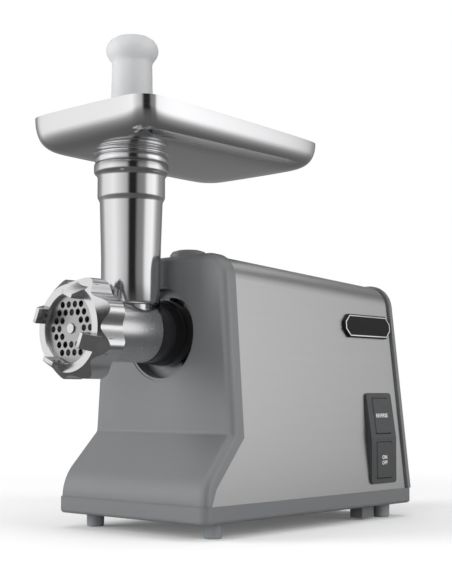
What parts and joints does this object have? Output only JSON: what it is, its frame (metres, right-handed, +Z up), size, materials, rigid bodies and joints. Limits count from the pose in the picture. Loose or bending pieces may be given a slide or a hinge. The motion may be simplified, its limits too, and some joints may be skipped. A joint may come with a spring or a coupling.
{
  "type": "electric meat grinder",
  "caption": "Upright electric meat grinder with a tray on a feed tube, a screw-ring cutting head, a geared motor in a steel-wrapped housing, and side push buttons.",
  "frame": {"origin": "on the floor under the middle of the overall box", "axes": "+Z up, -Y towards the mince outlet, +X towards the side with the buttons"},
  "size_m": [0.1542, 0.3235, 0.3687],
  "materials": {
    "cover_grey": "satin",
    "foot_grey": "matte",
    "wrap_steel": "brushed",
    "tray_steel": "polished",
    "head_metal": "polished",
    "ring_metal": "satin",
    "plate_steel": "satin",
    "black_plastic": "gloss",
    "button_dark": "satin",
    "badge_dark": "gloss",
    "pusher_grey": "satin",
    "inner_steel": "satin",
    "motor_iron": "matte",
    "copper_wire": "satin",
    "gear_plastic": "satin",
    "carbon": "matte"
  },
  "bodies": {
    "housing": {"base_plate": "cover_grey", "feet": "foot_grey", "base_screws": "inner_steel", "front_cover": "cover_grey", "steel_wrap": "wrap_steel", "rear_cover": "cover_grey", "cord_gland": "black_plastic", "socket_ring": "cover_grey", "button_bezel": "button_dark", "badge_plate": "badge_dark", "reverse_switch": "black_plastic", "on_off_switch": "black_plastic", "release_guide": "black_plastic", "gear_plate_front": "inner_steel", "gear_plate_rear": "inner_steel", "gearbox_posts": "inner_steel", "output_bearings": "copper_wire", "mid_shaft": "inner_steel", "field_coils": "copper_wire", "motor_stator": "motor_iron", "motor_studs": "inner_steel", "motor_front_bracket": "inner_steel", "motor_rear_bracket": "inner_steel", "motor_bearings": "copper_wire", "brush_holders": "copper_wire", "carbon_brushes": "carbon"},
    "head": {"head_casting": "head_metal", "barrel_collar": "black_plastic", "auger_bush": "gear_plastic"},
    "tray": {"feed_tray": "tray_steel"},
    "pusher": {"pusher": "pusher_grey"},
    "plate": {"cutting_plate": "plate_steel"},
    "ring": {"screw_ring": "ring_metal"},
    "drive": {"auger": "ring_metal", "cutting_blade": "plate_steel", "output_shaft": "inner_steel", "output_gear": "gear_plastic"},
    "mid": {"mid_gear": "gear_plastic", "mid_pinion": "inner_steel"},
    "rotor": {"motor_pinion": "inner_steel", "rotor_shaft": "inner_steel", "rotor_core": "motor_iron", "commutator": "copper_wire", "cooling_fan": "black_plastic"},
    "reverse": {"reverse_button": "button_dark"},
    "on_off": {"on_off_button": "button_dark"},
    "release": {"release_button": "cover_grey"}
  },
  "joints": [
    {"name": "head_twist", "type": "hinge", "parent": "housing", "child": "head", "pos_m": [0, -0.05, 0.1471], "axis": [0, 1, 0], "range_deg": [0, 45]},
    {"name": "tray_lift", "type": "slide", "parent": "head", "child": "tray", "axis": [0, 0, 1], "range_m": [0, 0.06]},
    {"name": "pusher_slide", "type": "slide", "parent": "tray", "child": "pusher", "axis": [0, 0, 1], "range_m": [0, 0.15]},
    {"name": "plate_slide", "type": "slide", "parent": "head", "child": "plate", "axis": [0, -1, 0], "range_m": [0, 0.012]},
    {"name": "ring_turn", "type": "hinge", "parent": "plate", "child": "ring", "pos_m": [0, -0.14, 0.1471], "axis": [0, -1, 0], "range_deg": [0, 1440]},
    {"name": "drive_spin", "type": "hinge", "parent": "housing", "child": "drive", "pos_m": [0, 0, 0.1471], "axis": [0, 1, 0], "continuous": true},
    {"name": "mid_spin", "type": "hinge", "parent": "housing", "child": "mid", "pos_m": [-0.03, 0, 0.10773], "axis": [0, 1, 0], "continuous": true},
    {"name": "rotor_spin", "type": "hinge", "parent": "housing", "child": "rotor", "pos_m": [0, 0.07, 0.09659], "axis": [0, 1, 0], "continuous": true},
    {"name": "reverse_press", "type": "slide", "parent": "housing", "child": "reverse", "axis": [-0.9975, 0, -0.0702], "range_m": [0, 0.0025], "stiffness_N_per_m": 400},
    {"name": "on_off_press", "type": "slide", "parent": "housing", "child": "on_off", "axis": [-0.9975, 0, -0.0702], "range_m": [0, 0.0025], "stiffness_N_per_m": 400},
    {"name": "release_press", "type": "slide", "parent": "housing", "child": "release", "axis": [0, 0, -1], "range_m": [0, 0.004], "stiffness_N_per_m": 500}
  ],
  "couplings": [
    {"joint": "mid_spin", "follows": "drive_spin", "ratio": -5},
    {"joint": "rotor_spin", "follows": "drive_spin", "ratio": 35},
    {"joint": "plate_slide", "follows": "ring_turn", "m_per_rad": 0.00047746}
  ]
}
